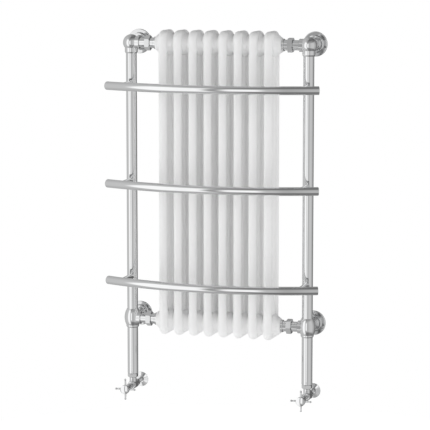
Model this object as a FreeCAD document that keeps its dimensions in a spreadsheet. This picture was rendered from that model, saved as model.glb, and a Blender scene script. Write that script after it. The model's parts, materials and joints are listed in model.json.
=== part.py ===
import FreeCAD, Part
import math
import os
import re

import Sketcher

# Wall-hung towel radiator: a white three-column insert held in a chrome ball-jointed
# frame with three bowed towel bars, and a cross-head angle valve under each post.
#
# Frame, in millimetres: +Z up, +X to the right of someone facing the radiator, +Y into
# the wall. The origin is on the wall plane, in the middle of the four wall fixings.

DIMENSIONS = {
    # layout of the frame
    "post_spacing": 544.6,
    "header_spacing": 831,
    "wall_offset": 77,
    "valve_drop": 207,
    # clearances
    "solder_gap": 0.05,
    "screw_gap": 0.05,
    "turn_gap": 0.08,
    # column sections
    "section_pitch": 46,
    "section_count": 8,
    "column_radius": 12.5,
    "column_wall": 1.25,
    "column_spacing": 38,
    "head_thickness": 26,
    "head_half_depth": 50.5,
    "head_rise": 39.5,
    "head_fall": 34,
    "head_top_round": 25,
    "head_low_round": 16,
    "head_edge_round": 12.5,
    "head_sheet": 1.5,
    "neck_drop": 48,
    "joint_radius": 27,
    "joint_bore": 20,
    "shoulder_radius": 35,
    "shoulder_half": 12,
    "end_boss_radius": 21,
    "end_boss_face": 79.45,
    # posts and ball fittings
    "post_radius": 16,
    "post_wall": 2,
    "ball_radius": 24.5,
    "collar_radius": 19.2,
    "collar_straight": 27.5,
    "collar_reach": 31.5,
    "collar_lip": 16.7,
    "barrel_low": 22,
    "barrel_curve": 52,
    "tee_collar_straight": 26,
    "tee_collar_reach": 29.5,
    "tee_neck_radius": 17.4,
    "tee_neck_reach": 28,
    "side_collar_radius": 19,
    "side_collar_straight": 27,
    "side_collar_reach": 28,
    "side_collar_lip": 18,
    "socket_depth": 12,
    "waterway_radius": 11,
    # wall fixings
    "stay_radius": 11,
    "stay_socket_depth": 7,
    "stay_collar_radius": 15,
    "stay_collar_reach": 31,
    "foot_radius": 17,
    "foot_thickness": 4,
    "spigot_radius": 8,
    "spigot_reach": 36,
    "wall_screw_radius": 3,
    "countersink_radius": 6,
    "countersink_depth": 3,
    "grub_radius": 2.5,
    "grub_reach": 28,
    "grub_groove": 0.8,
    "rosette_radius": 37,
    # unions between the fittings and the insert, measured from the post's axis
    "stub_radius": 14.8,
    "stub_bore": 11,
    "union_thread_radius": 17.3,
    "stub_thread_start": 47,
    "stub_thread_end": 52,
    "nut_start": 46.5,
    "nut_end": 61.5,
    "nut_flats": 40,
    "nut_chamfer": 1.2,
    "nut_turn_left": 0,
    "nut_turn_right": 26,
    "tail_start": 54,
    "tail_collar_end": 58,
    "tail_radius": 15.8,
    "tail_end": 73,
    "shank_radius": 10.5,
    "shank_end": 92,
    "shank_bore": 8,
    "bush_radius": 18.4,
    "bush_thread_radius": 16.5,
    "bush_end": 97,
    # towel bars
    "bar_radius": 12.5,
    "bar_wall": 1.5,
    "bar_chord": 645,
    "bar_sagitta": 64.5,
    "bar_end_offset": 154,
    "bar_spacing": 290.8,
    "bar_middle_height": 0.6,
    "cap_thickness": 2.5,
    "cap_round": 1.5,
    "standoff_radius": 10,
    "standoff_bore": 7.5,
    # lower tails and the valves' union nuts, heights measured from the valve's axis
    "tail_foot": 35,
    "tail_floor": 38.5,
    "tail_neck_radius": 8.5,
    "tail_collar_radius": 10.3,
    "tail_collar_top": 31.6,
    "tail_collar_low": 30.1,
    "tail_waterway": 6.5,
    "valve_nut_top": 34.6,
    "valve_nut_low": 22.5,
    "valve_nut_flats": 28,
    "outlet_radius": 10.45,
    "outlet_reach": 29,
    # valves, measured towards the front from the middle of the valve
    "valve_radius": 13,
    "valve_half": 15,
    "inlet_radius": 10.8,
    "inlet_reach": 24,
    "inlet_way": 5.5,
    "pipe_radius": 7.5,
    "pipe_bore": 6.8,
    "pipe_stop": 12,
    "pipe_behind_wall": 25,
    "depth_mark": 1,
    "seat_plane": 7,
    "seat_radius": 7.2,
    "chamber_radius": 9.5,
    "headwork_thread_start": 5.8,
    "headwork_thread_radius": 10,
    "headwork_ring_radius": 12.4,
    "headwork_ring_end": 19,
    "headwork_radius": 9.4,
    "headwork_end": 33,
    "guide_flats": 12.9,
    "jumper_flats": 12.6,
    "jumper_disc_radius": 8.2,
    "jumper_washer_radius": 7.6,
    "jumper_pin_radius": 2,
    "spindle_screw_radius": 3,
    "spindle_collar_radius": 6.05,
    "spindle_collar_start": 14.3,
    "spindle_collar_end": 17,
    "spindle_radius": 4,
    "spindle_end": 62.9,
    "gland_start": 24.6,
    "gland_radius": 7.6,
    "gland_nut_flats": 16,
    "gland_nut_end": 38,
    "compression_flats": 24,
    "compression_end": 29,
    "olive_radius": 9,
    "handle_start": 40.5,
    "handle_web_start": 63,
    "handle_web_end": 66,
    "handle_front": 77.5,
    "handle_bell_radius": 13.6,
    "handle_recess_radius": 9,
    "arm_reach": 32.5,
    "arm_height": 68,
    "arm_root_radius": 3.4,
    "arm_waist_radius": 2.7,
    "arm_tip_radius": 3,
    "arm_sweep": 7,
    "handle_screw_radius": 1.95,
    "cap_front": 82.9,
    "valve_rosette_radius": 22.5,
    "valve_rosette_depth": 4.6,
    # air vent
    "vent_radius": 4.9,
    "vent_flats": 13,
    "bleed_radius": 2.42,
    "bleed_head_radius": 3.4,
}

UPRIGHT = FreeCAD.Rotation()
DOWN = FreeCAD.Rotation(FreeCAD.Vector(1, 0, 0), 180)
# local +Z turned away from the wall, into the wall, and from a right-hand post inwards
FRONT = FreeCAD.Rotation(FreeCAD.Vector(1, 0, 0), 90)
BACK = FreeCAD.Rotation(FreeCAD.Vector(1, 0, 0), -90)
INWARD = FreeCAD.Rotation(FreeCAD.Vector(0, 1, 0), -90)

CORNER_RIGHT = "post_spacing / 2"
CORNER_TOP = "header_spacing / 2"
POST_PLANE = "-wall_offset"
VALVE_LEVEL = "-header_spacing / 2 - valve_drop"
BAR_CURVE = "((bar_chord / 2) ^ 2 + bar_sagitta ^ 2) / (2 * bar_sagitta)"
BAR_CENTRE = f"{BAR_CURVE} - bar_sagitta - bar_end_offset"
CHAIN_HALF = "section_count * section_pitch / 2"

doc = FreeCAD.newDocument("towel_radiator")
sizes = doc.addObject("Spreadsheet::Sheet", "Sizes")
sub_parts = []


def fill_sheet():
    """Write the driving dimensions into the spreadsheet, each with its alias."""
    for row, (alias, number) in enumerate(DIMENSIONS.items(), start=1):
        sizes.set(f"A{row}", alias)
        sizes.set(f"B{row}", str(number))
        sizes.setAlias(f"B{row}", alias)
    doc.recompute()


def value(text):
    """The present value of an expression made of the sheet's aliases."""
    return float(sizes.evalExpression(str(text)))


def bound(text):
    """The same expression with each alias read from the sheet."""
    return re.sub(
        r"[a-z_]+", lambda word: f"Sizes.{word[0]}" if word[0] in DIMENSIONS else word[0], str(text)
    )


def drive(item, **settings):
    """Bind properties of an object to expressions."""
    for name, text in settings.items():
        item.setExpression(name, bound(text))
    return item


def place(item, across="0", depth="0", height="0", turn=UPRIGHT):
    """Set an object's Placement: a fixed turn, and a position bound to the sheet."""
    position = FreeCAD.Vector(value(across), value(depth), value(height))
    item.Placement = FreeCAD.Placement(position, turn)
    for axis, text in (("x", across), ("y", depth), ("z", height)):
        item.setExpression(f"Placement.Base.{axis}", bound(text))
    return item


def primitive(kind, name, turn=UPRIGHT, at=("0", "0", "0"), **settings):
    """A Part primitive with its sizes bound to the sheet."""
    return place(drive(doc.addObject(f"Part::{kind}", name), **settings), *at, turn)


def sub_part(label, item):
    """Name an object as one of the radiator's pieces."""
    item.Label = label
    sub_parts.append(item)
    return item


def plane_of(body, role):
    return next(plane for plane in body.Origin.OriginFeatures if plane.Role == role)


def end_near(sketch, edge, point):
    """Which end of a sketch's edge, 1 or 2, lies at a point."""
    first = sketch.getPoint(edge, 1)
    second = sketch.getPoint(edge, 2)
    return 1 if first.distanceToPoint(point) <= second.distanceToPoint(point) else 2


def crown(start, end, radius, side):
    """The middle of an arc that bulges to one side of its chord."""
    chord = end - start
    rise = radius - math.sqrt(max(radius**2 - chord.Length**2 / 4, 0))
    across = FreeCAD.Vector(-chord.y, chord.x, 0).normalize()
    return (start + end) * 0.5 + across * rise * side


def outline(sketch, corners):
    """Draw a closed outline whose corners are (u, v), or (u, v, radius, side) where an arc
    runs to the next corner and bulges to the left (1) or the right (-1) of the way there."""
    points = [FreeCAD.Vector(value(corner[0]), value(corner[1]), 0) for corner in corners]
    following = points[1:] + points[:1]
    for corner, start, end in zip(corners, points, following):
        if len(corner) == 2:
            sketch.addGeometry(Part.LineSegment(start, end))
        else:
            middle = crown(start, end, value(corner[2]), corner[3])
            sketch.addGeometry(Part.Arc(start, middle, end))
    for edge, (corner, start) in enumerate(zip(corners, points)):
        before = (edge - 1) % len(corners)
        near = end_near(sketch, edge, start)
        sketch.addConstraint(
            Sketcher.Constraint("Coincident", before, end_near(sketch, before, start), edge, near)
        )
        for kind, text, zero_line in (("DistanceX", corner[0], -2), ("DistanceY", corner[1], -1)):
            distance = value(text)
            if abs(distance) < 1e-9:
                sketch.addConstraint(Sketcher.Constraint("PointOnObject", edge, near, zero_line))
                continue
            rule = sketch.addConstraint(Sketcher.Constraint(kind, -1, 1, edge, near, distance))
            sketch.setExpression(f"Constraints[{rule}]", bound(text))
        if len(corner) > 2:
            rule = sketch.addConstraint(Sketcher.Constraint("Radius", edge, value(corner[2])))
            sketch.setExpression(f"Constraints[{rule}]", bound(corner[2]))


def sketched_body(name, role, corners):
    """A body with one closed sketch on one of its origin planes."""
    body = doc.addObject("PartDesign::Body", name)
    sketch = body.newObject("Sketcher::SketchObject", f"{name}_outline")
    sketch.AttachmentSupport = [(plane_of(body, role), "")]
    sketch.MapMode = "FlatFace"
    outline(sketch, corners)
    return body, sketch


def turned(name, corners, turn=UPRIGHT, at=("0", "0", "0")):
    """A solid of revolution about its own Z axis, from (radius, height) corners."""
    body, sketch = sketched_body(name, "XZ_Plane", corners)
    revolution = body.newObject("PartDesign::Revolution", f"{name}_turned")
    revolution.Profile = sketch
    revolution.ReferenceAxis = (sketch, ["V_Axis"])
    revolution.Angle = 360
    return place(body, *at, turn)


def ring(name, inner, outer, low, high, turn=UPRIGHT, at=("0", "0", "0")):
    """A plain tube or washer."""
    corners = [(inner, low), (outer, low), (outer, high), (inner, high)]
    return turned(name, corners, turn, at)


def fused(name, *items):
    union = doc.addObject("Part::MultiFuse", name)
    union.Shapes = list(items)
    return union


def cut(name, base, *tools):
    difference = doc.addObject("Part::Cut", name)
    difference.Base = base
    difference.Tool = tools[0] if len(tools) == 1 else fused(f"{name}_tools", *tools)
    return difference


def common(name, base, tool):
    overlap = doc.addObject("Part::Common", name)
    overlap.Base = base
    overlap.Tool = tool
    return overlap


def copy_of(item, name, across="0", depth="0", height="0", turn=UPRIGHT):
    """A linked copy of an object, moved by its own Placement."""
    link = doc.addObject("App::Link", name)
    link.LinkedObject = item
    link.LinkTransform = True
    return place(link, across, depth, height, turn)


def mirrored(item, name, normal):
    """A mirror image through the origin."""
    image = doc.addObject("Part::Mirroring", name)
    image.Source = item
    image.Normal = normal
    return image


def to_left(item, name):
    return mirrored(item, name, FreeCAD.Vector(1, 0, 0))


def to_bottom(item, name):
    return mirrored(item, name, FreeCAD.Vector(0, 0, 1))


def group(label, items):
    """Several separate solids that share one node."""
    compound = doc.addObject("Part::Compound", label)
    compound.Links = items
    return sub_part(label, compound)


def pair(label, item):
    """The right-hand piece and its mirror image, as two sub-parts."""
    sub_part(f"{label}_right", item)
    sub_part(f"{label}_left", to_left(item, f"{label}_left"))


def both_sides(label, item):
    """The right-hand piece and its mirror image, in one node."""
    return group(label, [item, to_left(item, f"{label}_mirror")])


def four_corners(label, item):
    """The top right piece and its images at the other three corners, in one node."""
    left = to_left(item, f"{label}_top_left")
    images = [to_bottom(item, f"{label}_low_right"), to_bottom(left, f"{label}_low_left")]
    return group(label, [item, left, *images])


def hexagon_nut(name, flats, corners, twist="0"):
    """A turned blank cut to a hexagon: the outline gives its bore, ends and chamfers."""
    heights = [corner[1] for corner in corners]
    low = min(heights, key=value)
    high = max(heights, key=value)
    prism = primitive(
        "Prism",
        f"{name}_hexagon",
        turn=FreeCAD.Rotation(FreeCAD.Vector(0, 0, 1), value(twist)),
        at=("0", "0", low),
        Circumradius=f"{flats} / sqrt(3)",
        Height=f"({high}) - ({low})",
    )
    prism.Polygon = 6
    return common(name, turned(f"{name}_blank", corners), prism)


def pressed_head():
    """The hollow top head of one section, about the header's axis: a rounded slab over the
    three columns, a double cone that joins the next section, and three short necks."""

    def slab(name, inset):
        half_depth = f"head_half_depth - {inset}"
        top = f"head_rise - {inset}"
        low = f"-head_fall + {inset}"
        round_top = f"head_top_round - {inset}"
        round_low = f"head_low_round - {inset}"
        corners = [
            (f"-({half_depth})", f"{low} + {round_low}"),
            (f"-({half_depth})", f"{top} - ({round_top})", round_top, 1),
            (f"-({half_depth}) + {round_top}", top),
            (f"{half_depth} - ({round_top})", top, round_top, 1),
            (half_depth, f"{top} - ({round_top})"),
            (half_depth, f"{low} + {round_low}", round_low, 1),
            (f"{half_depth} - ({round_low})", low),
            (f"-({half_depth}) + {round_low}", low, round_low, 1),
        ]
        body, sketch = sketched_body(name, "YZ_Plane", corners)
        pad = body.newObject("PartDesign::Pad", f"{name}_pad")
        pad.Profile = sketch
        pad.Midplane = True
        drive(pad, Length=f"head_thickness - 2 * {inset}")
        doc.recompute()
        side = value(f"head_thickness / 2 - {inset}")
        rims = [
            f"Edge{number}"
            for number, edge in enumerate(pad.Shape.Edges, start=1)
            if abs(abs(edge.CenterOfMass.x) - side) < 1e-6
        ]
        fillet = body.newObject("PartDesign::Fillet", f"{name}_round")
        fillet.Base = (pad, rims)
        drive(fillet, Radius=f"head_edge_round - {inset}")
        return body

    def double_cone(name, inset, joint):
        # the outline's height runs along X once the body is turned
        half = "section_pitch / 2"
        shoulder = f"shoulder_radius - {inset}"
        corners = [
            ("0", f"-({half})"),
            (joint, f"-({half})"),
            (shoulder, "-shoulder_half"),
            (shoulder, "shoulder_half"),
            (joint, half),
            ("0", half),
        ]
        return turned(name, corners, INWARD)

    def necks(name, radius, top):
        one = primitive("Cylinder", name, Radius=radius, Height=f"neck_drop + {top}")
        place(one, height="-neck_drop")
        front = copy_of(one, f"{name}_front", depth="-column_spacing")
        rear = copy_of(one, f"{name}_rear", depth="column_spacing")
        return [one, front, rear]

    outside = fused(
        "head_outside",
        slab("head_slab", "0"),
        double_cone("head_cone", "0", "joint_radius"),
        *necks("head_neck", "column_radius", "0"),
    )
    return cut(
        "head_shell",
        outside,
        slab("head_hollow", "head_sheet"),
        double_cone("head_passage", "head_sheet * 2", "joint_bore"),
        *necks("head_bore", "column_radius - column_wall", "2"),
    )


def insert():
    """The white insert: sections of three columns between two pressed heads, and the
    welded bosses that end the two header passages."""
    top = place(pressed_head(), height=CORNER_TOP)
    bottom = to_bottom(top, "bottom_head")
    column = ring(
        "column",
        "column_radius - column_wall",
        "column_radius",
        "-header_spacing / 2 + neck_drop",
        "header_spacing / 2 - neck_drop",
    )
    columns = [
        column,
        copy_of(column, "front_column", depth="-column_spacing"),
        copy_of(column, "rear_column", depth="column_spacing"),
    ]
    vent_hole = primitive(
        "Cylinder",
        "vent_hole",
        BACK,
        ("0", "head_half_depth - 6", CORNER_TOP),
        Radius="vent_radius + screw_gap",
        Height="10",
    )
    vented = cut("vented_head", top, vent_hole)
    plain_section = doc.addObject("Part::Compound", "plain_section")
    plain_section.Links = [top, bottom, *columns]
    vented_section = doc.addObject("Part::Compound", "vented_section")
    vented_section.Links = [vented, bottom, *columns]
    for number in range(1, int(DIMENSIONS["section_count"]) + 1):
        source = vented_section if number == 1 else plain_section
        across = f"({number} - (section_count + 1) / 2) * section_pitch"
        sub_part(
            f"column_section_{number}",
            copy_of(source, f"section_{number}", across, POST_PLANE),
        )
    boss = turned(
        "end_boss",
        [
            ("bush_thread_radius + screw_gap", "end_boss_face"),
            ("end_boss_radius", "end_boss_face"),
            ("joint_radius", f"{CORNER_RIGHT} - ({CHAIN_HALF})"),
            ("bush_thread_radius + screw_gap", f"{CORNER_RIGHT} - ({CHAIN_HALF})"),
        ],
        INWARD,
        (CORNER_RIGHT, POST_PLANE, CORNER_TOP),
    )
    four_corners("end_bosses", boss)


def vent():
    """The air vent at the back of the left-hand section's top head."""
    across = f"-({CHAIN_HALF}) + section_pitch / 2"
    back = "-wall_offset + head_half_depth"
    hexagon = hexagon_nut(
        "vent_blank",
        "vent_flats",
        [
            ("bleed_radius + turn_gap", "0.05"),
            ("vent_flats / 2 + 0.2", "0.05"),
            ("vent_flats / 2 + 1.2", "1"),
            ("vent_flats / 2 + 1.2", "4.2"),
            ("vent_flats / 2 - 0.2", "5"),
            ("bleed_radius + turn_gap", "5"),
        ],
    )
    shank = turned(
        "vent_shank",
        [
            ("0", "-5"),
            ("vent_radius", "-5"),
            ("vent_radius", "0.5"),
            ("bleed_radius + turn_gap", "0.5"),
            ("bleed_radius + turn_gap", "-4"),
            ("0", "-4"),
        ],
    )
    plug = place(fused("vent_plug_blank", hexagon, shank), across, back, CORNER_TOP, BACK)
    sub_part("air_vent_plug", plug)
    screw = turned(
        "bleed_screw_blank",
        [
            ("0", "-3.5"),
            ("bleed_radius", "-3.5"),
            ("bleed_radius", "5.2"),
            ("bleed_head_radius", "5.2"),
            ("bleed_head_radius", "7.4"),
            ("bleed_head_radius - 0.5", "7.9"),
            ("0", "7.9"),
        ],
    )
    slot = primitive(
        "Box", "bleed_slot", UPRIGHT, ("-5", "-0.4", "6.6"), Length="10", Width="0.8", Height="3"
    )
    bleed = place(cut("bleed_screw_cut", screw, slot), across, back, CORNER_TOP, BACK)
    sub_part("bleed_screw", bleed)


def branch(name, radius, straight, reach, lip, turn):
    """A ball fitting's collar, tapered at its mouth."""
    corners = [("0", "0"), (radius, "0"), (radius, straight), (lip, reach), ("0", reach)]
    return turned(name, corners, turn)


def socket(name, radius, reach, depth, way, turn):
    """The socket in a collar and the waterway behind it."""
    corners = [
        ("0", "0"),
        (way, "0"),
        (way, f"{reach} - {depth}"),
        (radius, f"{reach} - {depth}"),
        (radius, f"{reach} + 1"),
        ("0", f"{reach} + 1"),
    ]
    return turned(name, corners, turn)


def tee_barrel():
    """The swelling barrel of a tee, from its lower collar up to a thin neck."""
    return turned(
        "tee_barrel",
        [
            ("0", "-barrel_low"),
            ("collar_radius", "-barrel_low", "barrel_curve", -1),
            ("tee_neck_radius", "tee_neck_reach - 1"),
            ("tee_neck_radius - 0.5", "tee_neck_reach"),
            ("0", "tee_neck_reach"),
        ],
    )


def ball_fitting(name, height, has_top):
    """An elbow's ball or a tee's barrel, with collars down, inwards and to the wall."""
    straight = "tee_collar_straight" if has_top else "collar_straight"
    reach = "tee_collar_reach" if has_top else "collar_reach"
    middle = tee_barrel() if has_top else primitive("Sphere", f"{name}_ball", Radius="ball_radius")
    outside = [
        middle,
        branch(f"{name}_low", "collar_radius", straight, reach, "collar_lip", DOWN),
        branch(
            f"{name}_side",
            "side_collar_radius",
            "side_collar_straight",
            "side_collar_reach",
            "side_collar_lip",
            INWARD,
        ),
        branch(
            f"{name}_rear",
            "stay_collar_radius",
            "stay_collar_reach - 1",
            "stay_collar_reach",
            "stay_collar_radius - 1",
            BACK,
        ),
    ]
    post_socket = "post_radius + solder_gap"
    way = "waterway_radius"
    inside = [
        primitive("Sphere", f"{name}_way", Radius=way),
        socket(f"{name}_low_way", post_socket, reach, "socket_depth", way, DOWN),
        socket(
            f"{name}_side_way",
            "stub_radius + solder_gap",
            "side_collar_reach",
            "socket_depth",
            "stub_bore",
            INWARD,
        ),
    ]
    blind = turned(
        f"{name}_stay_socket",
        [
            ("0", "stay_collar_reach - stay_socket_depth"),
            ("stay_radius + solder_gap", "stay_collar_reach - stay_socket_depth"),
            ("stay_radius + solder_gap", "stay_collar_reach + 1"),
            ("0", "stay_collar_reach + 1"),
        ],
        BACK,
    )
    if has_top:
        inside.append(
            socket(f"{name}_top_way", post_socket, "tee_neck_reach", "socket_depth", way, UPRIGHT)
        )
    fitting = cut(name, fused(f"{name}_outside", *outside), *inside, blind)
    return place(fitting, CORNER_RIGHT, POST_PLANE, height)


def posts():
    low = "-header_spacing / 2 + tee_neck_reach - socket_depth + solder_gap"
    high = "header_spacing / 2 - collar_reach + socket_depth - solder_gap"
    post = ring("post", "post_radius - post_wall", "post_radius", low, high)
    pair("post", place(post, CORNER_RIGHT, POST_PLANE))


def wall_fixings():
    """At each corner: a foot screwed to the wall, a stay that sleeves over its spigot and
    goes into the ball fitting, the grub screw that locks them, and a stepped rosette."""
    corner = (CORNER_RIGHT, "0", CORNER_TOP)
    foot = turned(
        "wall_foot",
        [
            ("wall_screw_radius", "0"),
            ("foot_radius", "0"),
            ("foot_radius", "foot_thickness"),
            ("spigot_radius", "foot_thickness"),
            ("spigot_radius", "grub_reach - grub_radius"),
            ("spigot_radius - grub_groove", "grub_reach - grub_radius"),
            ("spigot_radius - grub_groove", "grub_reach + grub_radius"),
            ("spigot_radius", "grub_reach + grub_radius"),
            ("spigot_radius", "spigot_reach"),
            ("countersink_radius", "spigot_reach"),
            ("wall_screw_radius", "spigot_reach - countersink_depth"),
        ],
        FRONT,
        corner,
    )
    four_corners("wall_feet", foot)
    front = "wall_offset - stay_collar_reach + stay_socket_depth - solder_gap"
    tube = turned(
        "stay_tube",
        [
            ("spigot_radius + solder_gap", "foot_thickness + 0.05"),
            ("stay_radius", "foot_thickness + 0.05"),
            ("stay_radius", front),
            ("0", front),
            ("0", "spigot_reach + 2"),
            ("spigot_radius + solder_gap", "spigot_reach + 2"),
        ],
    )
    tapping = primitive(
        "Cylinder",
        "stay_tapping",
        FreeCAD.Rotation(FreeCAD.Vector(1, 0, 0), 90),
        ("0", "0", "grub_reach"),
        Radius="grub_radius",
        Height="stay_radius + 2",
    )
    stay = place(cut("stay", tube, tapping), *corner, FRONT)
    four_corners("wall_stays", stay)
    grub = turned(
        "grub_screw",
        [
            ("0", "spigot_radius - grub_groove + 0.05"),
            ("grub_radius - screw_gap", "spigot_radius - grub_groove + 0.05"),
            ("grub_radius - screw_gap", "stay_radius - 0.2"),
            ("grub_radius / 2", "stay_radius - 0.2"),
            ("grub_radius / 2", "stay_radius - 1.6"),
            ("0", "stay_radius - 1.6"),
        ],
        DOWN,
        (CORNER_RIGHT, "-grub_reach", CORNER_TOP),
    )
    four_corners("stay_grub_screws", grub)
    rosette = turned("rosette", rosette_outline(), FRONT, corner)
    four_corners("wall_rosettes", rosette)


def rosette_outline():
    """The stepped rosette's section: a rounded rim and flat ring, two steps with a flat shelf
    between them, a bead round the stay, and the skin's inner face behind them."""
    rim = "rosette_radius"
    hole = "stay_radius + 0.1"
    return [
        (rim, "0.05"),
        (rim, "1.4", "1.8", -1),
        (f"{rim} - 1.8", "3.2"),
        (f"{rim} - 10", "3.2"),
        (f"{rim} - 12.4", "8", "1.6", -1),
        (f"{rim} - 13.8", "9"),
        (f"{rim} - 18", "9"),
        (f"{rim} - 20.2", "14.6", "1.6", -1),
        (f"{rim} - 21.4", "16"),
        ("stay_radius + 2.6", "16"),
        ("stay_radius + 2.6", "17", "1.4", -1),
        ("stay_radius + 1.2", "18.4"),
        (hole, "18.4"),
        (hole, "14.6"),
        (f"{rim} - 21.7", "14.6"),
        (f"{rim} - 19", "7.6"),
        (f"{rim} - 13.7", "7.6"),
        (f"{rim} - 10.9", "1.8"),
        (f"{rim} - 1.6", "1.8"),
        (f"{rim} - 1.6", "0.05"),
    ]


def unions():
    """The three-piece unions between the ball fittings and the insert's end bosses."""
    corner = (CORNER_RIGHT, POST_PLANE, CORNER_TOP)
    thread = "union_thread_radius"
    stub = turned(
        "union_stub",
        [
            ("stub_bore", "side_collar_reach - socket_depth + solder_gap"),
            ("stub_radius", "side_collar_reach - socket_depth + solder_gap"),
            ("stub_radius", "stub_thread_start"),
            (thread, "stub_thread_start"),
            (thread, "stub_thread_end"),
            ("stub_bore", "stub_thread_end"),
        ],
        INWARD,
        corner,
    )
    four_corners("union_stubs", stub)
    washer = ring(
        "union_washer", "stub_bore", thread, "stub_thread_end + 0.02", "tail_start - 0.02", INWARD, corner
    )
    tail = turned(
        "union_tail",
        [
            ("shank_bore", "tail_start"),
            (thread, "tail_start"),
            (thread, "tail_collar_end"),
            ("tail_radius", "tail_collar_end"),
            ("tail_radius", "tail_end - 0.6"),
            ("tail_radius - 0.6", "tail_end"),
            ("shank_radius", "tail_end"),
            ("shank_radius", "shank_end"),
            ("shank_bore", "shank_end"),
        ],
        INWARD,
        corner,
    )
    four_corners("union_tails", tail)
    bush = turned(
        "end_bush",
        [
            ("shank_radius + screw_gap", "tail_end + 0.05"),
            ("bush_radius - 0.8", "tail_end + 0.05"),
            ("bush_radius", "tail_end + 0.8"),
            ("bush_radius", "end_boss_face - 0.05"),
            ("bush_thread_radius", "end_boss_face - 0.05"),
            ("bush_thread_radius", "bush_end"),
            ("shank_radius + screw_gap", "bush_end"),
        ],
        INWARD,
        corner,
    )
    four_corners("end_bushes", bush)
    for side, sign in (("left", "-1"), ("right", "1")):
        nut = union_nut(f"union_nut_{side}", f"nut_turn_{side}")
        turn = INWARD if side == "right" else FreeCAD.Rotation(FreeCAD.Vector(0, 1, 0), 90)
        across = f"{sign} * ({CORNER_RIGHT})"
        upper = copy_of(nut, f"union_nut_{side}_top", across, POST_PLANE, CORNER_TOP, turn)
        lower = copy_of(nut, f"union_nut_{side}_low", across, POST_PLANE, f"-({CORNER_TOP})", turn)
        group(f"union_nuts_{side}", [upper, lower])
    return washer


def union_nut(name, twist):
    rim = "nut_flats / sqrt(3) + 0.5"
    thread = "union_thread_radius + screw_gap"
    return hexagon_nut(
        name,
        "nut_flats",
        [
            (thread, "nut_start"),
            ("nut_flats / 2 - 0.2", "nut_start"),
            (rim, "nut_start + nut_chamfer"),
            (rim, "nut_end - nut_chamfer"),
            ("nut_flats / 2 - 0.2", "nut_end"),
            ("tail_radius + 0.2", "nut_end"),
            ("tail_radius + 0.2", "tail_collar_end + 0.1"),
            (thread, "tail_collar_end + 0.1"),
        ],
        twist,
    )


def towel_bars():
    """Three bowed bars of one plan curve, their end caps, and the standoffs from the posts."""
    end_angle = f"asin(bar_chord / 2 / ({BAR_CURVE}))"
    trim_angle = f"cap_thickness / ({BAR_CURVE}) * 180 deg / pi"
    heights = [f"bar_middle_height + ({step}) * bar_spacing" for step in (1, 0, -1)]
    right_cap = turned(
        "bar_cap",
        [
            ("0", "-8"),
            ("bar_radius - bar_wall - solder_gap", "-8"),
            ("bar_radius - bar_wall - solder_gap", "0.02"),
            ("bar_radius", "0.02"),
            ("bar_radius", "cap_thickness - cap_round", "cap_round", -1),
            ("bar_radius - cap_round", "cap_thickness"),
            ("0", "cap_thickness"),
        ],
        FreeCAD.Rotation(FreeCAD.Vector(0, 1, 0), 90),
        ("0", f"-({BAR_CURVE})", "0"),
    )
    left_cap = to_left(right_cap, "bar_cap_mirror")
    caps = []
    standoffs = []
    for label, height in zip(("top", "middle", "bottom"), heights):
        bar = bowed_tube(f"bar_{label}", f"({end_angle}) - ({trim_angle})")
        sub_part(f"towel_bar_{label}", place(bar, "0", BAR_CENTRE, height))
        for side, cap, axis in (("right", right_cap, 1), ("left", left_cap, -1)):
            link = copy_of(cap, f"bar_cap_{label}_{side}", "0", BAR_CENTRE, height)
            spin = FreeCAD.Rotation(FreeCAD.Vector(0, 0, axis), value(end_angle) - value(trim_angle))
            link.Placement = FreeCAD.Placement(link.Placement.Base, spin)
            caps.append(drive(link, **{"Placement.Rotation.Angle": f"({end_angle}) - ({trim_angle})"}))
        standoff = bar_standoff(f"standoff_{label}", height)
        standoffs += [standoff, to_left(standoff, f"standoff_{label}_left")]
    group("bar_end_caps", caps)
    group("bar_standoffs", standoffs)


def bowed_tube(name, half_angle):
    """A tube swept about its own Z axis, bowing towards the front."""
    body = doc.addObject("PartDesign::Body", name)
    sketch = body.newObject("Sketcher::SketchObject", f"{name}_section")
    sketch.AttachmentSupport = [(plane_of(body, "YZ_Plane"), "")]
    sketch.MapMode = "FlatFace"
    centre = FreeCAD.Vector(-value(BAR_CURVE), 0, 0)
    for radius in ("bar_radius", "bar_radius - bar_wall"):
        edge = sketch.addGeometry(Part.Circle(centre, FreeCAD.Vector(0, 0, 1), value(radius)))
        sketch.addConstraint(Sketcher.Constraint("PointOnObject", edge, 3, -1))
        rule = sketch.addConstraint(Sketcher.Constraint("DistanceX", -1, 1, edge, 3, centre.x))
        sketch.setExpression(f"Constraints[{rule}]", bound(f"-({BAR_CURVE})"))
        rule = sketch.addConstraint(Sketcher.Constraint("Radius", edge, value(radius)))
        sketch.setExpression(f"Constraints[{rule}]", bound(radius))
    bend = body.newObject("PartDesign::Revolution", f"{name}_bend")
    bend.Profile = sketch
    bend.ReferenceAxis = (sketch, ["V_Axis"])
    bend.Midplane = True
    return drive_body(body, bend, Angle=f"2 * ({half_angle})")


def drive_body(body, feature, **settings):
    drive(feature, **settings)
    return body


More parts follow.
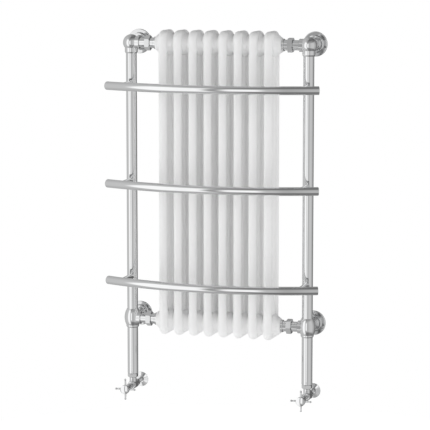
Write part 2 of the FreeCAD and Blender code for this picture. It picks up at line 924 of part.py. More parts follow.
def bar_standoff(name, height):
    """A short tube from a post to a bar, saddled to both."""
    stock = ring(f"{name}_stock", "standoff_bore", "standoff_radius", "0", "110")
    place(stock, CORNER_RIGHT, POST_PLANE, height, FRONT)
    post = primitive(
        "Cylinder",
        f"{name}_post",
        UPRIGHT,
        (CORNER_RIGHT, POST_PLANE, f"{height} - 30"),
        Radius="post_radius + 0.02",
        Height="60",
    )
    bar = primitive(
        "Torus",
        f"{name}_bar",
        UPRIGHT,
        ("0", BAR_CENTRE, height),
        Radius1=BAR_CURVE,
        Radius2="bar_radius + 0.02",
    )
    beyond = primitive(
        "Box",
        f"{name}_beyond",
        UPRIGHT,
        (f"{CORNER_RIGHT} - 20", f"{BAR_CENTRE} - ({BAR_CURVE})", f"{height} - 20"),
        Length="40",
        Width=f"({BAR_CURVE}) - sqrt(({BAR_CURVE}) ^ 2 - (post_spacing / 2 - 6) ^ 2)",
        Height="40",
    )
    return cut(name, stock, post, bar, beyond)


def lower_tails():
    """The tails under the tees, closed and necked down for the valves' union nuts."""
    top = "valve_drop - tee_collar_reach + socket_depth - solder_gap"
    tail = turned(
        "lower_tail",
        [
            ("post_radius - post_wall", top),
            ("post_radius", top),
            ("post_radius", "tail_foot + 1"),
            ("post_radius - 1", "tail_foot"),
            ("tail_neck_radius", "tail_foot"),
            ("tail_neck_radius", "tail_collar_top"),
            ("tail_collar_radius", "tail_collar_top"),
            ("tail_collar_radius", "tail_collar_low"),
            ("tail_waterway", "tail_collar_low"),
            ("tail_waterway", "tail_floor"),
            ("post_radius - post_wall", "tail_floor"),
        ],
        UPRIGHT,
        (CORNER_RIGHT, POST_PLANE, VALVE_LEVEL),
    )
    pair("lower_tail", tail)
    thread = "outlet_radius + screw_gap"
    rim = "valve_nut_flats / sqrt(3) + 0.3"
    nut = hexagon_nut(
        "valve_nut",
        "valve_nut_flats",
        [
            (thread, "valve_nut_low"),
            ("valve_nut_flats / 2 - 2", "valve_nut_low"),
            (rim, "valve_nut_low + 3.2"),
            (rim, "valve_nut_top - 0.8"),
            ("valve_nut_flats / 2", "valve_nut_top"),
            ("tail_neck_radius + 0.2", "valve_nut_top"),
            ("tail_neck_radius + 0.2", "tail_collar_top + 0.1"),
            (thread, "tail_collar_top + 0.1"),
        ],
        "30",
    )
    both_sides("valve_union_nuts", place(nut, CORNER_RIGHT, POST_PLANE, VALVE_LEVEL))
    return ring(
        "valve_washer",
        "tail_waterway",
        "tail_collar_radius",
        "outlet_reach + 0.02",
        "tail_collar_low - 0.02",
        UPRIGHT,
        (CORNER_RIGHT, POST_PLANE, VALVE_LEVEL),
    )


def fibre_washers(union_washer, valve_washer):
    left = to_left(union_washer, "union_washer_left")
    group(
        "fibre_washers",
        [
            union_washer,
            left,
            to_bottom(union_washer, "union_washer_low_right"),
            to_bottom(left, "union_washer_low_left"),
            valve_washer,
            to_left(valve_washer, "valve_washer_left"),
        ],
    )


def at_valve(item):
    return place(item, CORNER_RIGHT, POST_PLANE, VALVE_LEVEL, FRONT)


def valve_body():
    """The angle valve's body: the pipe enters from the wall, the outlet goes up to the
    tail, and the seat faces the headwork at the front."""
    barrel = turned(
        "valve_barrel",
        [
            ("0", "-inlet_reach"),
            ("inlet_radius", "-inlet_reach"),
            ("inlet_radius", "-valve_half"),
            ("valve_radius - 1", "-valve_half", "1", -1),
            ("valve_radius", "-valve_half + 1"),
            ("valve_radius", "valve_half - 2"),
            ("valve_radius - 1", "valve_half - 1"),
            ("0", "valve_half - 1"),
        ],
    )
    outlet = primitive(
        "Cylinder",
        "valve_outlet",
        BACK,
        ("0", "0", "0"),
        Radius="outlet_radius",
        Height="outlet_reach",
    )
    cavity = turned(
        "valve_cavity",
        [
            ("0", "-inlet_reach - 1"),
            ("pipe_radius + solder_gap", "-inlet_reach - 1"),
            ("pipe_radius + solder_gap", "-pipe_stop"),
            ("inlet_way", "-pipe_stop"),
            ("inlet_way", "-seat_plane"),
            ("seat_radius", "-seat_plane"),
            ("seat_radius", "-seat_plane - 1"),
            ("chamber_radius", "-seat_plane - 1"),
            ("chamber_radius", "headwork_thread_start"),
            ("headwork_thread_radius", "headwork_thread_start"),
            ("headwork_thread_radius", "valve_half"),
            ("0", "valve_half"),
        ],
    )
    way = primitive(
        "Cylinder",
        "valve_way",
        BACK,
        ("0", "0", "0"),
        Radius="tail_waterway",
        Height="outlet_reach + 1",
    )
    return at_valve(cut("valve_body", fused("valve_casting", barrel, outlet), cavity, way))


def headwork():
    """The headwork screwed into the valve: it guides the jumper and houses the gland."""
    blank = turned(
        "headwork_blank",
        [
            ("0", "headwork_thread_start + 0.1"),
            ("headwork_thread_radius - screw_gap", "headwork_thread_start + 0.1"),
            ("headwork_thread_radius - screw_gap", "valve_half - 0.9"),
            ("headwork_ring_radius - 0.8", "valve_half - 0.9"),
            ("headwork_ring_radius", "valve_half"),
            ("headwork_ring_radius", "headwork_ring_end - 1.2", "1.2", -1),
            ("headwork_ring_radius - 1.2", "headwork_ring_end"),
            ("headwork_radius", "headwork_ring_end"),
            ("headwork_radius", "headwork_end - 0.8"),
            ("headwork_radius - 0.8", "headwork_end"),
            ("0", "headwork_end"),
        ],
    )
    guide = primitive(
        "Prism",
        "jumper_guide",
        at=("0", "0", "headwork_thread_start - 1"),
        Circumradius="guide_flats / sqrt(3)",
        Height="spindle_collar_start - headwork_thread_start + 1",
    )
    guide.Polygon = 6
    chamber = turned(
        "gland_chamber",
        [
            ("0", "spindle_collar_start - 0.2"),
            ("spindle_collar_radius + turn_gap", "spindle_collar_start - 0.2"),
            ("spindle_collar_radius + turn_gap", "gland_start"),
            ("gland_radius", "gland_start"),
            ("gland_radius", "headwork_end + 1"),
            ("0", "headwork_end + 1"),
        ],
    )
    return at_valve(cut("headwork", blank, guide, chamber))


def gland():
    packing = ring(
        "gland_packing",
        "spindle_radius + turn_gap",
        "spindle_collar_radius",
        "spindle_collar_end + 0.2",
        "gland_start - 0.1",
    )
    both_sides("gland_packings", at_valve(packing))
    shank = ring(
        "gland_shank",
        "spindle_radius + 0.1",
        "gland_radius - screw_gap",
        "gland_start",
        "headwork_end + 0.5",
    )
    head = hexagon_nut(
        "gland_head",
        "gland_nut_flats",
        [
            ("spindle_radius + 0.1", "headwork_end + 0.05"),
            ("gland_nut_flats / 2 + 1.4", "headwork_end + 0.05"),
            ("gland_nut_flats / 2 + 1.4", "gland_nut_end - 1"),
            ("gland_nut_flats / 2 - 0.1", "gland_nut_end"),
            ("spindle_radius + 0.1", "gland_nut_end"),
        ],
    )
    pair("gland_nut", at_valve(fused("gland_nut", shank, head)))


def jumper():
    """The hexagonal jumper that the spindle's screw draws along, and its rubber washer."""
    stem = primitive(
        "Prism",
        "jumper_stem",
        at=("0", "0", "-2.5"),
        Circumradius="jumper_flats / sqrt(3)",
        Height="11.5",
    )
    stem.Polygon = 6
    disc = turned(
        "jumper_disc",
        [
            ("0", "-6.4"),
            ("jumper_pin_radius", "-6.4"),
            ("jumper_pin_radius", "-4"),
            ("jumper_disc_radius", "-4"),
            ("jumper_disc_radius", "-2"),
            ("0", "-2"),
        ],
    )
    bore = primitive(
        "Cylinder",
        "jumper_bore",
        at=("0", "0", "-1"),
        Radius="spindle_screw_radius + turn_gap",
        Height="12",
    )
    pair("valve_jumper", at_valve(cut("jumper", fused("jumper_blank", stem, disc), bore)))
    washer = ring(
        "jumper_washer",
        "jumper_pin_radius + 0.05",
        "jumper_washer_radius",
        "-seat_plane + 0.1",
        "-4.05",
    )
    pair("jumper_washer", at_valve(washer))


def spindle():
    """The spindle: its screw in the jumper, a thrust collar, and a stem to the handle."""
    stem = turned(
        "spindle",
        [
            ("0", "3.2"),
            ("spindle_screw_radius", "3.2"),
            ("spindle_screw_radius", "spindle_collar_start"),
            ("spindle_collar_radius", "spindle_collar_start"),
            ("spindle_collar_radius", "spindle_collar_end"),
            ("spindle_radius", "spindle_collar_end"),
            ("spindle_radius", "spindle_end"),
            ("handle_screw_radius + screw_gap", "spindle_end"),
            ("handle_screw_radius + screw_gap", "spindle_end - 13"),
            ("0", "spindle_end - 13"),
        ],
    )
    pair("valve_spindle", at_valve(stem))


def handle():
    """The cross-head: a belled hub with four swept arms, its screw and its domed cap."""
    bell = "handle_bell_radius"
    hub = turned(
        "handle_hub",
        [
            ("spindle_radius + 0.05", "handle_start"),
            ("8", "handle_start"),
            ("8.6", "handle_start + 1.5"),
            ("8.6", "handle_start + 3", "30", 1),
            ("7.6", "handle_start + 12", "26", 1),
            (f"{bell} - 0.8", "handle_front - 7"),
            (bell, "handle_front - 5.5"),
            (bell, "handle_front - 1.2"),
            (f"{bell} - 1.2", "handle_front"),
            ("handle_recess_radius", "handle_front"),
            ("handle_recess_radius", "handle_web_end"),
            ("handle_screw_radius + 0.15", "handle_web_end"),
            ("handle_screw_radius + 0.15", "handle_web_start"),
            ("spindle_radius + 0.05", "handle_web_start"),
        ],
    )
    arm = turned(
        "handle_arm",
        [
            ("0", "10"),
            ("arm_root_radius", "10", "60", 1),
            ("arm_waist_radius", "21", "16", 1),
            ("arm_tip_radius", "arm_reach - arm_tip_radius", "arm_tip_radius", -1),
            ("0", "arm_reach"),
        ],
    )
    arms = [copy_of(arm, f"handle_arm_{step}") for step in range(4)]
    for step, one in enumerate(arms):
        around = FreeCAD.Rotation(FreeCAD.Vector(0, 0, 1), 90 * step)
        outward = FreeCAD.Rotation(FreeCAD.Vector(0, 1, 0), 90 - value("arm_sweep"))
        place(one, height="arm_height", turn=around * outward)
    pair("valve_handle", at_valve(fused("handle", hub, *arms)))
    screw = turned(
        "handle_screw",
        [
            ("0", "spindle_end - 12"),
            ("handle_screw_radius", "spindle_end - 12"),
            ("handle_screw_radius", "handle_web_end + 0.05"),
            ("3.8", "handle_web_end + 0.05"),
            ("3.8", "handle_web_end + 1.6"),
            ("2.6", "handle_web_end + 2.6"),
            ("0", "handle_web_end + 2.6"),
        ],
    )
    pair("handle_screw", at_valve(screw))
    skirt = "handle_recess_radius - screw_gap"
    rise = f"(cap_front - handle_front - 3)"
    spread = f"({bell} - 0.3)"
    cap = turned(
        "handle_cap",
        [
            (f"{skirt} - 1.5", "handle_front - 4"),
            (skirt, "handle_front - 4"),
            (skirt, "handle_front + 0.05"),
            (f"{bell} - 0.3", "handle_front + 0.05"),
            (
                f"{bell} - 0.3",
                "handle_front + 3",
                f"({rise} ^ 2 + {spread} ^ 2) / (2 * {rise})",
                -1,
            ),
            ("0", "cap_front"),
            ("0", "handle_front + 3.6"),
            (f"{skirt} - 1.5", "handle_front + 3"),
        ],
    )
    pair("handle_cap", at_valve(cap))


def supply():
    """The pipe from the wall, its compression joint on the valve, and its wall rosette."""
    wall = "-wall_offset"
    pipe = turned(
        "supply_pipe",
        [
            ("pipe_bore", f"{wall} - pipe_behind_wall"),
            ("pipe_radius", f"{wall} - pipe_behind_wall"),
            ("pipe_radius", f"{wall} - depth_mark"),
            ("pipe_radius - 0.2", f"{wall} - depth_mark"),
            ("pipe_radius - 0.2", wall),
            ("pipe_radius", wall),
            ("pipe_radius", "-pipe_stop - 0.1"),
            ("pipe_bore", "-pipe_stop - 0.1"),
        ],
    )
    both_sides("supply_pipes", at_valve(pipe))
    rim = "compression_flats / sqrt(3) + 0.3"
    nut = hexagon_nut(
        "compression_nut",
        "compression_flats",
        [
            ("inlet_radius + screw_gap", "-valve_half - 0.3"),
            ("compression_flats / 2 - 0.2", "-valve_half - 0.3"),
            (rim, "-valve_half - 1.5"),
            (rim, "-compression_end + 2.5"),
            ("compression_flats / 2 - 1.5", "-compression_end"),
            ("pipe_radius + 0.1", "-compression_end"),
            ("inlet_radius + screw_gap", "-inlet_reach - 0.6"),
        ],
        "10",
    )
    both_sides("compression_nuts", at_valve(nut))
    olive = turned(
        "olive",
        [
            ("pipe_radius + 0.02", "-inlet_reach - 3"),
            ("olive_radius - 0.9", "-inlet_reach - 3"),
            ("olive_radius", "-inlet_reach - 1.6"),
            ("olive_radius - 0.6", "-inlet_reach - 0.1"),
            ("pipe_radius + 0.02", "-inlet_reach - 0.1"),
        ],
    )
    both_sides("compression_olives", at_valve(olive))
    edge = "valve_rosette_radius"
    hole = "pipe_radius + 1.2"
    rosette = turned(
        "valve_rosette",
        [
            (edge, "0.05"),
            (edge, "0.8"),
            (f"{edge} - 0.5", "1.3"),
            ("pipe_radius + 3.5", "valve_rosette_depth - 0.8"),
            ("pipe_radius + 2.7", "valve_rosette_depth"),
            (hole, "valve_rosette_depth"),
            (hole, "valve_rosette_depth - 1.8"),
            ("pipe_radius + 2.5", "valve_rosette_depth - 1.8"),
            (f"{edge} - 1.6", "0.35"),
            (f"{edge} - 1.6", "0.05"),
        ],
        FRONT,
        (CORNER_RIGHT, "0", VALVE_LEVEL),
    )
    both_sides("valve_rosettes", rosette)


def build():
    fill_sheet()
    insert()
    vent()
    posts()
    pair("ball_elbow", ball_fitting("elbow", CORNER_TOP, has_top=False))
    pair("ball_tee", ball_fitting("tee", f"-({CORNER_TOP})", has_top=True))
    wall_fixings()
    union_washer = unions()
    towel_bars()
    valve_washer = lower_tails()
    fibre_washers(union_washer, valve_washer)
    pair("valve_body", valve_body())
    pair("valve_headwork", headwork())
    gland()
    jumper()
    spindle()
    handle()
    supply()
    doc.recompute()


def check():
    """Stop if any object failed or any sub-part has no sound shape."""
    faults = [item.Name for item in doc.Objects if {"Invalid", "Error"} & set(item.State)]
    for item in sub_parts:
        shape = Part.getShape(item)
        if shape.isNull() or not shape.isValid() or not shape.Solids:
            faults.append(item.Label)
    if faults:
        raise RuntimeError(f"failed objects: {', '.join(faults)}")


def export():
    os.makedirs("parts", exist_ok=True)
    for item in sub_parts:
        shape = Part.getShape(item)
        shape.exportStep(os.path.join("parts", f"{item.Label}.step"))
        print(f"{item.Label}: {len(shape.Solids)} solids, {shape.Volume / 1000:.2f} cm3")


build()
check()
export()
print(f"{len(sub_parts)} nodes")
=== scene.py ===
import json
import math

import bmesh
import bpy
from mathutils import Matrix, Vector


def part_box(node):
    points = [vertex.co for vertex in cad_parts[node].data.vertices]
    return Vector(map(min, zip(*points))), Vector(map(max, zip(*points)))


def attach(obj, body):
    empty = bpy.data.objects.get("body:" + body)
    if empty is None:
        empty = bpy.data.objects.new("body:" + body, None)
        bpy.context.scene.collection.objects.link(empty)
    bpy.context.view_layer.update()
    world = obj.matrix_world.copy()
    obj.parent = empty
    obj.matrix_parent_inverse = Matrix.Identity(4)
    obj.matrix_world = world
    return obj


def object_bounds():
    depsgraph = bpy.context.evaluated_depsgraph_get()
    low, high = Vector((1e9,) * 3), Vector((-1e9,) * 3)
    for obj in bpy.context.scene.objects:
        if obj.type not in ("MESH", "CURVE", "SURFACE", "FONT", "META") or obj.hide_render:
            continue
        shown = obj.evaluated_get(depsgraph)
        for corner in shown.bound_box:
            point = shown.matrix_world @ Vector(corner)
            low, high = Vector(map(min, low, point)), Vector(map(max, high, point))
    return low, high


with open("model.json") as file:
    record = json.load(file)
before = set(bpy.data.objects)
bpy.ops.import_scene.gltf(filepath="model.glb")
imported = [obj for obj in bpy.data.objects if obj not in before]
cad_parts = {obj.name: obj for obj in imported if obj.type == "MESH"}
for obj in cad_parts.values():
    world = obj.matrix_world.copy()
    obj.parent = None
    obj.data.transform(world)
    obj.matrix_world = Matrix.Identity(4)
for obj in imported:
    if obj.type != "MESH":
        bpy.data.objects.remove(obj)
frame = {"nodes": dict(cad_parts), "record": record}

cad_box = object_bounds()
scene = bpy.context.scene

# A wall-hung towel radiator. Its pieces come from the frame. This script gives them their
# finishes, adds the beads of weld and solder at the seams, and sets the floor, light and camera.


# ---------------------------------------------------------------- sizes, in metres

post_low, post_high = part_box("post_right")
section_low, section_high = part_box("column_section_1")
bosses_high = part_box("end_bosses")[1]
bar_boxes = [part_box(f"towel_bar_{place}") for place in ("top", "middle", "bottom")]

MM = 0.001
POST_X = (post_low.x + post_high.x) / 2
POST_Y = (post_low.y + post_high.y) / 2
POST_RADIUS = (post_high.x - post_low.x) / 2
SECTION_COUNT = sum(name.startswith("column_section") for name in frame["nodes"])
SECTION_PITCH = section_high.x - section_low.x
SECTION_JOINT_RADIUS = 27 * MM
HEADER_Z = bosses_high.z - SECTION_JOINT_RADIUS
COLUMN_RADIUS = 12.5 * MM
COLUMN_SPACING = (section_high.y - section_low.y) / 2 - COLUMN_RADIUS
NECK_DROP = 48 * MM
BAR_RADIUS = 12.5 * MM
BAR_CURVE = 838.5 * MM
BAR_CENTRE_Y = bar_boxes[0][0].y + BAR_RADIUS + BAR_CURVE
BAR_HEIGHTS = [(low.z + high.z) / 2 for low, high in bar_boxes]
STANDOFF_RADIUS = 10 * MM

HEADER_WELD = 0.8 * MM
NECK_WELD = 0.4 * MM
SOLDER = 0.45 * MM

FLOOR_RADIUS = 1.4
FLOOR_DROP = 0.35


# ---------------------------------------------------------------- materials


def grey(level):
    return (level, level, level)


def new_material(name):
    material = bpy.data.materials.new(name)
    material.use_nodes = True
    nodes = material.node_tree.nodes
    return material, nodes, material.node_tree.links, nodes["Principled BSDF"]


def noise(nodes, links, scale, detail):
    """A noise texture over the object's own coordinates, in metres."""
    place = nodes.new("ShaderNodeTexCoord")
    texture = nodes.new("ShaderNodeTexNoise")
    texture.inputs["Scale"].default_value = scale
    texture.inputs["Detail"].default_value = detail
    links.new(place.outputs["Object"], texture.inputs["Vector"])
    return texture.outputs["Fac"]


def ramp(nodes, links, factor, low, high, start=0.3, end=0.7):
    """Colours from low to high as a factor goes from start to end."""
    blend = nodes.new("ShaderNodeValToRGB")
    first, last = blend.color_ramp.elements
    first.position = start
    first.color = (*low, 1)
    last.position = end
    last.color = (*high, 1)
    links.new(factor, blend.inputs["Fac"])
    return blend.outputs["Color"]


def bump(nodes, links, height, strength, distance):
    """A normal tilted by a relief whose full height is distance."""
    relief = nodes.new("ShaderNodeBump")
    relief.inputs["Strength"].default_value = strength
    relief.inputs["Distance"].default_value = distance
    links.new(height, relief.inputs["Height"])
    return relief.outputs["Normal"]


def chrome(name):
    """Plated metal: slight clouding, a soft uneven gloss and faint polishing marks."""
    material, nodes, links, shader = new_material(name)
    shader.inputs["Metallic"].default_value = 1.0
    cloud = noise(nodes, links, scale=9, detail=3)
    tint = ramp(nodes, links, cloud, (0.780, 0.784, 0.788), (0.808, 0.812, 0.816))
    haze = noise(nodes, links, scale=60, detail=5)
    gloss = ramp(nodes, links, haze, grey(0.03), grey(0.06), start=0.35, end=0.68)
    marks = noise(nodes, links, scale=900, detail=2)
    links.new(tint, shader.inputs["Base Color"])
    links.new(gloss, shader.inputs["Roughness"])
    relief = bump(nodes, links, marks, strength=0.05, distance=0.01 * MM)
    links.new(relief, shader.inputs["Normal"])
    return material


def paint(name):
    """Baked powder coat: a fine orange-peel relief and a soft satin gloss."""
    material, nodes, links, shader = new_material(name)
    cloud = noise(nodes, links, scale=14, detail=3)
    tint = ramp(nodes, links, cloud, grey(0.916), grey(0.93))
    haze = noise(nodes, links, scale=120, detail=4)
    gloss = ramp(nodes, links, haze, grey(0.36), grey(0.46))
    peel = noise(nodes, links, scale=420, detail=2)
    relief = bump(nodes, links, peel, strength=0.12, distance=0.12 * MM)
    links.new(tint, shader.inputs["Base Color"])
    links.new(gloss, shader.inputs["Roughness"])
    links.new(relief, shader.inputs["Normal"])
    shader.inputs["Specular IOR Level"].default_value = 0.4
    return material


def metal(name, low, high, rough):
    """Bare turned metal with a little tarnish and fine tool marks."""
    material, nodes, links, shader = new_material(name)
    shader.inputs["Metallic"].default_value = 1.0
    stain = noise(nodes, links, scale=70, detail=5)
    tint = ramp(nodes, links, stain, low, high)
    haze = noise(nodes, links, scale=200, detail=4)
    gloss = ramp(nodes, links, haze, grey(rough - 0.06), grey(rough + 0.08))
    marks = noise(nodes, links, scale=1500, detail=2)
    relief = bump(nodes, links, marks, strength=0.2, distance=0.04 * MM)
    links.new(tint, shader.inputs["Base Color"])
    links.new(gloss, shader.inputs["Roughness"])
    links.new(relief, shader.inputs["Normal"])
    return material


def matt(name, low, high, rough, scale):
    """Rubber, fibre and packing: mottled, with a coarse grain."""
    material, nodes, links, shader = new_material(name)
    spots = noise(nodes, links, scale=scale, detail=5)
    tint = ramp(nodes, links, spots, low, high)
    haze = noise(nodes, links, scale=scale * 2, detail=3)
    gloss = ramp(nodes, links, haze, grey(rough - 0.06), grey(rough + 0.06))
    grain = noise(nodes, links, scale=scale * 4, detail=3)
    relief = bump(nodes, links, grain, strength=0.3, distance=0.1 * MM)
    links.new(tint, shader.inputs["Base Color"])
    links.new(gloss, shader.inputs["Roughness"])
    links.new(relief, shader.inputs["Normal"])
    return material


MATERIALS = {
    "chrome_plate": chrome("chrome_plate"),
    "white_paint": paint("white_paint"),
    "plain_brass": metal("plain_brass", (0.55, 0.40, 0.18), (0.72, 0.55, 0.27), rough=0.3),
    "plain_steel": metal("plain_steel", (0.42, 0.43, 0.44), (0.58, 0.59, 0.60), rough=0.32),
    "washer_rubber": matt("washer_rubber", grey(0.012), grey(0.03), rough=0.7, scale=300),
    "fibre": matt("fibre", (0.22, 0.05, 0.03), (0.34, 0.09, 0.05), rough=0.75, scale=400),
    "packing": matt("packing", (0.03, 0.03, 0.035), (0.08, 0.08, 0.085), rough=0.6, scale=500),
}

for part in frame["record"]["subparts"]:
    for holder in frame["nodes"][part["node"]].material_slots:
        holder.material = MATERIALS[part["material_slot"]]


# ---------------------------------------------------------------- seams

BEAD_SIDES = 8
BEAD_WAVES = 11
BEAD_UNEVENNESS = 0.12


def turns(steps):
    """Angles at even steps round a circle."""
    return [math.tau * step / steps for step in range(steps)]


def bead(shape, path, radius):
    """A closed bead of filler laid along a ring of points, slightly uneven along its length."""
    count = len(path)
    middle = sum(path, Vector()) / count
    rings = []
    for step, point in enumerate(path):
        along = (path[(step + 1) % count] - path[step - 1]).normalized()
        outward = point - middle
        outward = (outward - along * outward.dot(along)).normalized()
        across = along.cross(outward)
        wave = math.sin(BEAD_WAVES * math.tau * step / count)
        size = radius * (1 + BEAD_UNEVENNESS * wave)
        rings.append(
            [
                shape.verts.new(point + size * (math.cos(angle) * outward + math.sin(angle) * across))
                for angle in turns(BEAD_SIDES)
            ]
        )
    for step in range(count):
        here, ahead = rings[step], rings[(step + 1) % count]
        for side in range(BEAD_SIDES):
            other = (side + 1) % BEAD_SIDES
            face = shape.faces.new((here[side], ahead[side], ahead[other], here[other]))
            face.smooth = True


def seam_piece(name, paths, radius, finish):
    """One piece holding all the beads of a kind, fixed to the radiator."""
    shape = bmesh.new()
    for path in paths:
        bead(shape, path, radius)
    bmesh.ops.recalc_face_normals(shape, faces=shape.faces)
    mesh = bpy.data.meshes.new(name)
    shape.to_mesh(mesh)
    shape.free()
    mesh.materials.append(MATERIALS[finish])
    piece = bpy.data.objects.new(name, mesh)
    bpy.context.collection.objects.link(piece)
    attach(piece, "radiator")


def header_seams():
    """The welds between neighbouring sections and between the end sections and their bosses."""
    half = SECTION_COUNT // 2
    paths = []
    for height in (HEADER_Z, -HEADER_Z):
        for place in range(-half, half + 1):
            middle = Vector((place * SECTION_PITCH, POST_Y, height))
            paths.append(
                [
                    middle + SECTION_JOINT_RADIUS * Vector((0, math.cos(turn), math.sin(turn)))
                    for turn in turns(72)
                ]
            )
    return paths


def neck_seams():
    """The welds between the pressed heads' necks and the columns."""
    paths = []
    for number in range(SECTION_COUNT):
        across = (number - (SECTION_COUNT - 1) / 2) * SECTION_PITCH
        for depth in (-COLUMN_SPACING, 0, COLUMN_SPACING):
            for height in (HEADER_Z - NECK_DROP, NECK_DROP - HEADER_Z):
                middle = Vector((across, POST_Y + depth, height))
                paths.append(
                    [
                        middle + COLUMN_RADIUS * Vector((math.cos(turn), math.sin(turn), 0))
                        for turn in turns(48)
                    ]
                )
    return paths


def standoff_seams():
    """The solder where each standoff meets its post and its towel bar."""
    paths = []
    for side in (-1, 1):
        for height in BAR_HEIGHTS:
            at_post, at_bar = [], []
            for turn in turns(48):
                aside = STANDOFF_RADIUS * math.cos(turn)
                up = STANDOFF_RADIUS * math.sin(turn)
                x, z = side * POST_X + aside, height + up
                post_face = POST_Y - math.sqrt(POST_RADIUS**2 - aside**2)
                reach = BAR_CURVE - math.sqrt(BAR_RADIUS**2 - up**2)
                bar_back = BAR_CENTRE_Y - math.sqrt(reach**2 - x**2)
                at_post.append(Vector((x, post_face, z)))
                at_bar.append(Vector((x, bar_back, z)))
            paths += [at_post, at_bar]
    return paths


seam_piece("header_welds", header_seams(), HEADER_WELD, "white_paint")
seam_piece("neck_welds", neck_seams(), NECK_WELD, "white_paint")
seam_piece("standoff_solder", standoff_seams(), SOLDER, "chrome_plate")


# ---------------------------------------------------------------- floor


def floor():
    """A plain pale floor below the radiator, lit from within so that it stays even."""
    disc = bmesh.new()
    bmesh.ops.create_circle(disc, cap_ends=True, segments=96, radius=FLOOR_RADIUS)
    mesh = bpy.data.meshes.new("floor")
    disc.to_mesh(mesh)
    disc.free()
    plane = bpy.data.objects.new("floor", mesh)
    plane.location = (0, POST_Y, cad_box[0].z - FLOOR_DROP)
    bpy.context.collection.objects.link(plane)
    material, nodes, links, shader = new_material("floor")
    cloud = noise(nodes, links, scale=3, detail=2)
    links.new(ramp(nodes, links, cloud, grey(0.9), grey(0.92)), shader.inputs["Base Color"])
    shader.inputs["Roughness"].default_value = 0.9
    shader.inputs["Emission Color"].default_value = (1, 1, 1, 1)
    shader.inputs["Emission Strength"].default_value = 0.65
    mesh.materials.append(material)
    plane.visible_glossy = False
    plane.visible_diffuse = False


floor()


# ---------------------------------------------------------------- light

# What the chrome mirrors: the brightness round the horizon at five heights, as
# (degrees, level) stops. Degrees grow towards +X, from the wall's side (-180) past the
# front (0) and back to the wall.
OVERHEAD = [(-180, 0.26), (-130, 0.47), (-60, 0.49), (-25, 0.36), (-8, 0.22), (25, 0.16),
            (60, 0.18), (120, 0.18), (180, 0.26)]
HIGH = [(-180, 0.24), (-165, 0.36), (-150, 0.50), (-60, 0.62), (-30, 0.52), (-8, 0.28), (8, 0.32),
        (30, 0.36), (60, 0.34), (90, 0.26), (120, 0.18), (150, 0.16), (180, 0.23)]
LEVEL = [(-180, 0.14), (-168, 0.30), (-150, 0.48), (-110, 0.60), (-60, 0.66), (-21, 0.62),
         (-15.5, 0.36), (-12, 0.40), (-6, 0.60), (11, 0.60), (18, 0.48), (30, 0.56), (50, 0.66),
         (80, 0.68), (96, 0.58), (112, 0.46), (140, 0.26), (160, 0.14), (180, 0.13)]
LOW = [(-180, 0.34), (-150, 0.50), (-70, 0.58), (-30, 0.52), (-12, 0.42), (0, 0.22), (22, 0.20),
       (35, 0.22), (60, 0.28), (90, 0.24), (130, 0.20), (180, 0.32)]
BENEATH = [(-180, 0.28), (-130, 0.46), (-50, 0.50), (-20, 0.38), (4, 0.20), (40, 0.20),
           (90, 0.28), (180, 0.28)]
# Where each height gives way to the next, in degrees of elevation, from beneath upwards.
STEPS = [(-66, -54), (-42, -28), (26, 44), (52, 66)]
# Two soft boxes at the front left: azimuth span, elevation span, soft edge, added level.
SOFT_BOXES = [((-52, -17.3), (-48, 40), 3.2, 0.54), ((-10.3, 7), (-25, 23), 3, 0.54)]
# What lights the paint: a level round the horizon, times a level by elevation.
SOFT_ROUND = [(-180, 0.85), (-130, 1.0), (-90, 1.4), (-55, 1.5), (-25, 0.9), (2, 0.5), (10, 1.7),
              (24, 1.7), (32, 0.6), (55, 0.95), (90, 1.25), (135, 1.15), (180, 0.85)]
SOFT_UPWARD = [(-90, 0.5), (-35, 0.85), (0, 1.2), (18, 0.9), (40, 0.4), (60, 0.15), (90, 0.05)]


class WorldNodes:
    """A few shorthands for the world's node tree."""

    def __init__(self, tree):
        self.nodes, self.links = tree.nodes, tree.links
        self.nodes.clear()

    def put(self, value, socket):
        """Sets a socket to a number, or links another node's output to it."""
        if isinstance(value, (int, float)):
            socket.default_value = value
        else:
            self.links.new(value, socket)

    def math(self, kind, *values):
        node = self.nodes.new("ShaderNodeMath")
        node.operation = kind
        for value, socket in zip(values, node.inputs):
            self.put(value, socket)
        return node.outputs[0]

    def mix(self, factor, low, high):
        node = self.nodes.new("ShaderNodeMix")
        node.data_type = "FLOAT"
        for value, socket in zip((factor, low, high), (node.inputs[0], node.inputs[2], node.inputs[3])):
            self.put(value, socket)
        return node.outputs[0]

    def curve(self, value, stops):
        """A level read off a list of (at, level) stops."""
        low, high = stops[0][0], stops[-1][0]
        along = self.nodes.new("ShaderNodeMapRange")
        along.inputs["From Min"].default_value = low
        along.inputs["From Max"].default_value = high
        self.links.new(value, along.inputs["Value"])
        blend = self.nodes.new("ShaderNodeValToRGB")
        blend.color_ramp.interpolation = "EASE"
        elements = blend.color_ramp.elements
        while len(elements) < len(stops):
            elements.new(0.5)
        for element, (at, level) in zip(elements, stops):
            element.position = (at - low) / (high - low)
            element.color = (*grey(level), 1)
        self.links.new(along.outputs["Result"], blend.inputs["Fac"])
        return blend.outputs["Color"]

    def window(self, value, span, edge):
        """One within a span of degrees and nothing outside it, with soft edges."""
        start, end = span
        rise = [(-180, 0), (start - edge, 0), (start + edge, 1)]
        fall = [(end - edge, 1), (end + edge, 0), (180, 0)]
        return self.curve(value, rise + fall)


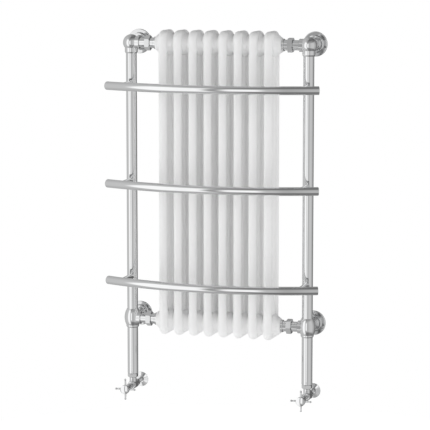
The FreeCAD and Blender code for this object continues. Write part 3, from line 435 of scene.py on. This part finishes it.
def studio():
    """Plain studio light: white beyond the floor, two soft boxes at the front left, and
    grey surroundings that the chrome mirrors."""
    world = bpy.data.worlds.new("studio")
    scene.world = world
    world.use_nodes = True
    world.cycles.sampling_method = "NONE"
    w = WorldNodes(world.node_tree)
    place = w.nodes.new("ShaderNodeTexCoord")
    split = w.nodes.new("ShaderNodeSeparateXYZ")
    w.links.new(place.outputs["Generated"], split.inputs[0])
    x, y, z = split.outputs
    azimuth = w.math("MULTIPLY", w.math("ARCTAN2", x, w.math("MULTIPLY", y, -1)), 180 / math.pi)
    elevation = w.math("MULTIPLY", w.math("ARCSINE", z), 180 / math.pi)

    mirrored = w.curve(azimuth, BENEATH)
    for band, (start, end) in zip((LOW, LEVEL, HIGH, OVERHEAD), STEPS):
        step = w.curve(elevation, [(-90, 0), (start, 0), (end, 1), (90, 1)])
        mirrored = w.mix(step, mirrored, w.curve(azimuth, band))
    for across, upward, edge, extra in SOFT_BOXES:
        shape = w.math("MULTIPLY", w.window(azimuth, across, edge), w.window(elevation, upward, edge))
        mirrored = w.math("ADD", mirrored, w.math("MULTIPLY", shape, extra))

    soft = w.math("MULTIPLY", w.curve(azimuth, SOFT_ROUND), w.curve(elevation, SOFT_UPWARD))
    path = w.nodes.new("ShaderNodeLightPath")
    light = w.mix(path.outputs["Is Glossy Ray"], soft, mirrored)
    shown = w.mix(path.outputs["Is Camera Ray"], light, 1.0)
    background = w.nodes.new("ShaderNodeBackground")
    w.links.new(shown, background.inputs["Color"])
    output = w.nodes.new("ShaderNodeOutputWorld")
    w.links.new(background.outputs[0], output.inputs["Surface"])


studio()

scene.view_settings.view_transform = "Standard"
scene.view_settings.look = "None"


# ---------------------------------------------------------------- camera

# It stands to the right of the radiator and a little above its top, and looks left and down.
CAMERA_PLACE = (1.714, -5.776, 0.755)
CAMERA_TURN = math.radians(16.85)
CAMERA_PITCH = math.radians(7.49)
FOCAL_LENGTH = 169.535
SENSOR_WIDTH = 36
SHIFT = -0.05

camera_data = bpy.data.cameras.new("camera")
camera_data.sensor_width = SENSOR_WIDTH
camera_data.lens = FOCAL_LENGTH
camera_data.shift_y = SHIFT
camera = bpy.data.objects.new("camera", camera_data)
camera.location = CAMERA_PLACE
level = math.cos(CAMERA_PITCH)
heading = Vector(
    (-math.sin(CAMERA_TURN) * level, math.cos(CAMERA_TURN) * level, -math.sin(CAMERA_PITCH))
)
camera.rotation_mode = "QUATERNION"
camera.rotation_quaternion = heading.to_track_quat("-Z", "Y")
bpy.context.collection.objects.link(camera)
scene.camera = camera
